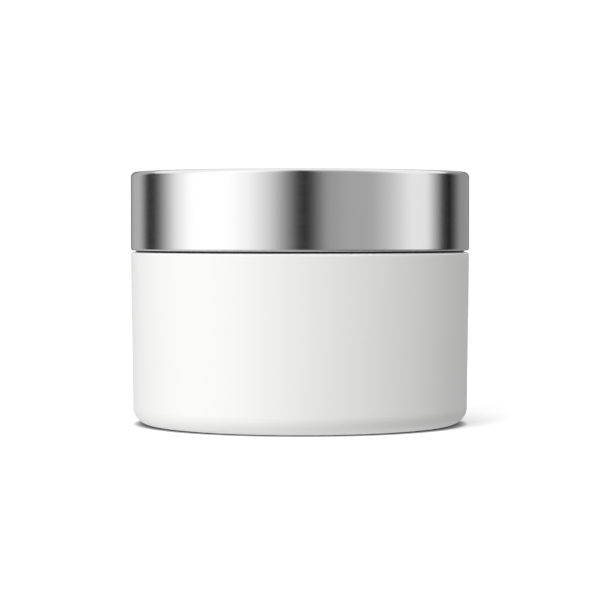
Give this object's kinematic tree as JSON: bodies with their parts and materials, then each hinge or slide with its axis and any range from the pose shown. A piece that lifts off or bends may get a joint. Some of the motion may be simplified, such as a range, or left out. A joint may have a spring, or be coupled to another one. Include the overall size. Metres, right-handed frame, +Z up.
{
  "type": "cosmetic cream jar",
  "caption": "Round double-wall cream jar with a white matte body, a threaded neck, a lift-out sealing disc and a metal-shelled screw lid with a foam liner.",
  "frame": {"origin": "centre of the base, on the plane that the jar stands on", "axes": "+Z up along the thread's axis, from base to lid; +X and +Y are free, since the outside is round"},
  "size_m": [0.064, 0.064, 0.0476],
  "materials": {
    "body_polypropylene": "matte moulded white, very fine spark-eroded grain",
    "cup_polypropylene": "smooth moulded white",
    "disc_polyethylene": "waxy natural white",
    "liner_foam": "fine closed-cell foam",
    "cap_polypropylene": "smooth moulded black",
    "satin_aluminium": "satin, spun with a fine grain round the axis, clear anodised"
  },
  "bodies": {
    "jar": {"outer_jar": "body_polypropylene", "inner_cup": "cup_polypropylene"},
    "liner": {"cap_liner": "liner_foam"},
    "lid": {"inner_cap": "cap_polypropylene", "lid_shell": "satin_aluminium"},
    "disc": {"seal_disc": "disc_polyethylene"}
  },
  "joints": [
    {"name": "lid_rise", "type": "slide", "parent": "jar", "child": "liner", "axis": [0, 0, 1], "range_m": [0, 0.0421]},
    {"name": "lid_turn", "type": "hinge", "parent": "liner", "child": "lid", "pos_m": [0, 0, 0], "axis": [0, 0, 1], "range_deg": [0, 2520]},
    {"name": "disc_lift", "type": "slide", "parent": "jar", "child": "disc", "axis": [0, 0, 1], "range_m": [0, 0.0169]}
  ],
  "couplings": [
    {"joint": "lid_rise", "follows": "lid_turn", "m_per_rad": 0.00095493},
    {"joint": "disc_lift", "follows": "lid_turn", "m_per_rad": 0.00038197}
  ]
}
